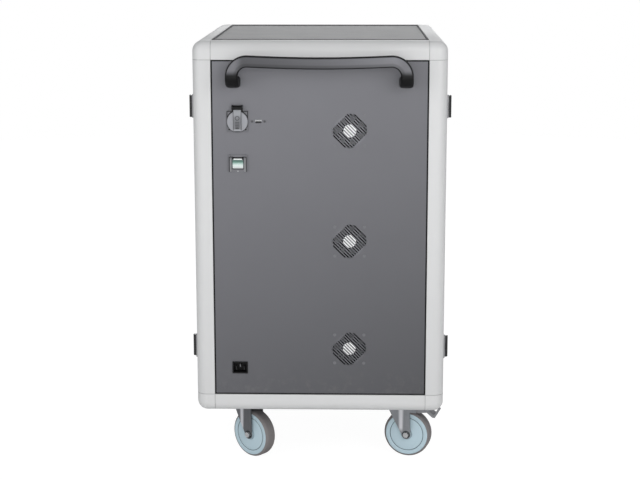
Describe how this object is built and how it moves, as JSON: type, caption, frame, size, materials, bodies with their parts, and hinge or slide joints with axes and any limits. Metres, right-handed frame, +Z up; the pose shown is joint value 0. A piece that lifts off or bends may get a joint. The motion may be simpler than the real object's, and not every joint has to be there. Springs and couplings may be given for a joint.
{
  "type": "laptop charging cart",
  "caption": "Rolling steel cabinet that stores and charges laptops on edge, with side doors, push handle, vented fans, mains fittings and swivel casters.",
  "frame": {"origin": "on the floor, under the middle of the outline, push handle and locks included", "axes": "+Z up, -Y towards the push handle end, +X towards the laptop door"},
  "size_m": [0.637, 0.742, 1.0742],
  "materials": {
    "frame_paint": "satin light grey powder coat",
    "panel_paint": "fine-textured dark grey powder coat",
    "inner_paint": "satin light grey powder coat",
    "seal_rubber": "matte black",
    "handle_plastic": "satin black",
    "black_plastic": "fine-grained black",
    "fan_plastic": "smooth black",
    "lid_plastic": "satin mid grey",
    "rocker_plastic": "clear green over white",
    "hardware_black": "satin black",
    "bright_steel": "nickel plated",
    "zinc_steel": "bright zinc plated",
    "wheel_plastic": "satin light blue-grey",
    "tyre_rubber": "matte warm grey"
  },
  "bodies": {
    "cabinet": {"posts": "frame_paint", "end_rails": "frame_paint", "side_rails": "frame_paint", "corner_blocks": "frame_paint", "top_panel": "panel_paint", "base_panel": "panel_paint", "end_panel_front": "panel_paint", "end_panel_rear": "panel_paint", "panel_seals": "seal_rubber", "push_handle": "handle_plastic", "panel_screws": "bright_steel", "socket_housing": "black_plastic", "data_port": "bright_steel", "switch_shroud": "black_plastic", "mains_inlet": "black_plastic", "inlet_pins": "bright_steel", "fan_frames": "black_plastic", "partition": "inner_paint", "shelves": "inner_paint", "bay_dividers": "inner_paint", "charger_shelves": "inner_paint", "control_box": "inner_paint", "power_strips": "black_plastic", "frame_hinge_leaves": "hardware_black", "hinge_pins": "bright_steel", "door_stops": "seal_rubber", "caster_plates": "zinc_steel", "caster_bolts": "bright_steel"},
    "lid": {"socket_lid": "lid_plastic", "socket_lid_barrel": "black_plastic"},
    "rocker": {"switch_rocker": "rocker_plastic"},
    "rotor_bottom": {"fan_rotor_bottom": "fan_plastic"},
    "rotor_middle": {"fan_rotor_middle": "fan_plastic"},
    "rotor_top": {"fan_rotor_top": "fan_plastic"},
    "laptop_side": {"laptop_door": "panel_paint", "laptop_door_leaves": "hardware_black", "laptop_lock_plate": "hardware_black"},
    "charger_side": {"charger_door": "panel_paint", "charger_door_leaves": "hardware_black", "charger_lock_plate": "hardware_black"},
    "laptop_lock": {"laptop_lock_handle": "hardware_black"},
    "charger_lock": {"charger_lock_handle": "hardware_black"},
    "swivel_front_left": {"fork_front_left": "zinc_steel", "axle_front_left": "zinc_steel"},
    "roller_front_left": {"wheel_front_left": "wheel_plastic", "tyre_front_left": "tyre_rubber"},
    "swivel_front_right": {"fork_front_right": "zinc_steel", "axle_front_right": "zinc_steel"},
    "roller_front_right": {"wheel_front_right": "wheel_plastic", "tyre_front_right": "tyre_rubber"},
    "brake_front": {"brake_pedal_front": "zinc_steel"},
    "swivel_rear_left": {"fork_rear_left": "zinc_steel", "axle_rear_left": "zinc_steel"},
    "roller_rear_left": {"wheel_rear_left": "wheel_plastic", "tyre_rear_left": "tyre_rubber"},
    "brake_rear": {"brake_pedal_rear": "zinc_steel"},
    "swivel_rear_right": {"fork_rear_right": "zinc_steel", "axle_rear_right": "zinc_steel"},
    "roller_rear_right": {"wheel_rear_right": "wheel_plastic", "tyre_rear_right": "tyre_rubber"}
  },
  "joints": [
    {"name": "socket_lid_hinge", "type": "hinge", "parent": "cabinet", "child": "lid", "pos_m": [-0.197, -0.3153, 0.9153], "axis": [-1, 0, 0], "range_deg": [0, 110], "stiffness_Nm_per_rad": 0.02, "springref_deg": -17.19},
    {"name": "switch_rock", "type": "hinge", "parent": "cabinet", "child": "rocker", "pos_m": [-0.197, -0.3025, 0.78], "axis": [-1, 0, 0], "range_deg": [0, 18]},
    {"name": "fan_spin_bottom", "type": "hinge", "parent": "cabinet", "child": "rotor_bottom", "pos_m": [0.072, -0.294, 0.3185], "axis": [0, 1, 0], "continuous": true},
    {"name": "fan_spin_middle", "type": "hinge", "parent": "cabinet", "child": "rotor_middle", "pos_m": [0.072, -0.294, 0.5885], "axis": [0, 1, 0], "continuous": true},
    {"name": "fan_spin_top", "type": "hinge", "parent": "cabinet", "child": "rotor_top", "pos_m": [0.072, -0.294, 0.8585], "axis": [0, 1, 0], "continuous": true},
    {"name": "laptop_door_hinge", "type": "hinge", "parent": "cabinet", "child": "laptop_side", "pos_m": [0.311, -0.26225, 0.6145], "axis": [0, 0, -1], "range_deg": [0, 180]},
    {"name": "laptop_lock_turn", "type": "hinge", "parent": "laptop_side", "child": "laptop_lock", "pos_m": [0.305, 0.276, 0.6145], "axis": [1, 0, 0], "range_deg": [0, 90]},
    {"name": "charger_door_hinge", "type": "hinge", "parent": "cabinet", "child": "charger_side", "pos_m": [-0.311, -0.26225, 0.6145], "axis": [0, 0, 1], "range_deg": [0, 180]},
    {"name": "charger_lock_turn", "type": "hinge", "parent": "charger_side", "child": "charger_lock", "pos_m": [-0.305, 0.276, 0.6145], "axis": [1, 0, 0], "range_deg": [0, 90]},
    {"name": "swivel_turn_front_left", "type": "hinge", "parent": "cabinet", "child": "swivel_front_left", "pos_m": [-0.195, -0.1695, 0.148], "axis": [0, 0, 1], "continuous": true},
    {"name": "wheel_roll_front_left", "type": "hinge", "parent": "swivel_front_left", "child": "roller_front_left", "pos_m": [-0.17169, -0.18838, 0.06], "axis": [0.6293, 0.7771, 0], "continuous": true},
    {"name": "swivel_turn_front_right", "type": "hinge", "parent": "cabinet", "child": "swivel_front_right", "pos_m": [0.195, -0.1695, 0.148], "axis": [0, 0, 1], "continuous": true},
    {"name": "wheel_roll_front_right", "type": "hinge", "parent": "swivel_front_right", "child": "roller_front_right", "pos_m": [0.2239, -0.17757, 0.06], "axis": [0.2689, 0.9632, 0], "continuous": true},
    {"name": "brake_press_front", "type": "hinge", "parent": "swivel_front_right", "child": "brake_front", "pos_m": [0.24027, -0.18214, 0.131], "axis": [0.2689, 0.9632, 0], "range_deg": [0, 12]},
    {"name": "swivel_turn_rear_left", "type": "hinge", "parent": "cabinet", "child": "swivel_rear_left", "pos_m": [-0.195, 0.2315, 0.148], "axis": [0, 0, 1], "continuous": true},
    {"name": "wheel_roll_rear_left", "type": "hinge", "parent": "swivel_rear_left", "child": "roller_rear_left", "pos_m": [-0.16759, 0.2193, 0.06], "axis": [0.4067, 0.9135, 0], "continuous": true},
    {"name": "brake_press_rear", "type": "hinge", "parent": "swivel_rear_left", "child": "brake_rear", "pos_m": [-0.15206, 0.21238, 0.131], "axis": [0.4067, 0.9135, 0], "range_deg": [0, 12]},
    {"name": "swivel_turn_rear_right", "type": "hinge", "parent": "cabinet", "child": "swivel_rear_right", "pos_m": [0.195, 0.2315, 0.148], "axis": [0, 0, 1], "continuous": true},
    {"name": "wheel_roll_rear_right", "type": "hinge", "parent": "swivel_rear_right", "child": "roller_rear_right", "pos_m": [0.21729, 0.21143, 0.06], "axis": [0.6691, 0.7431, 0], "continuous": true}
  ]
}
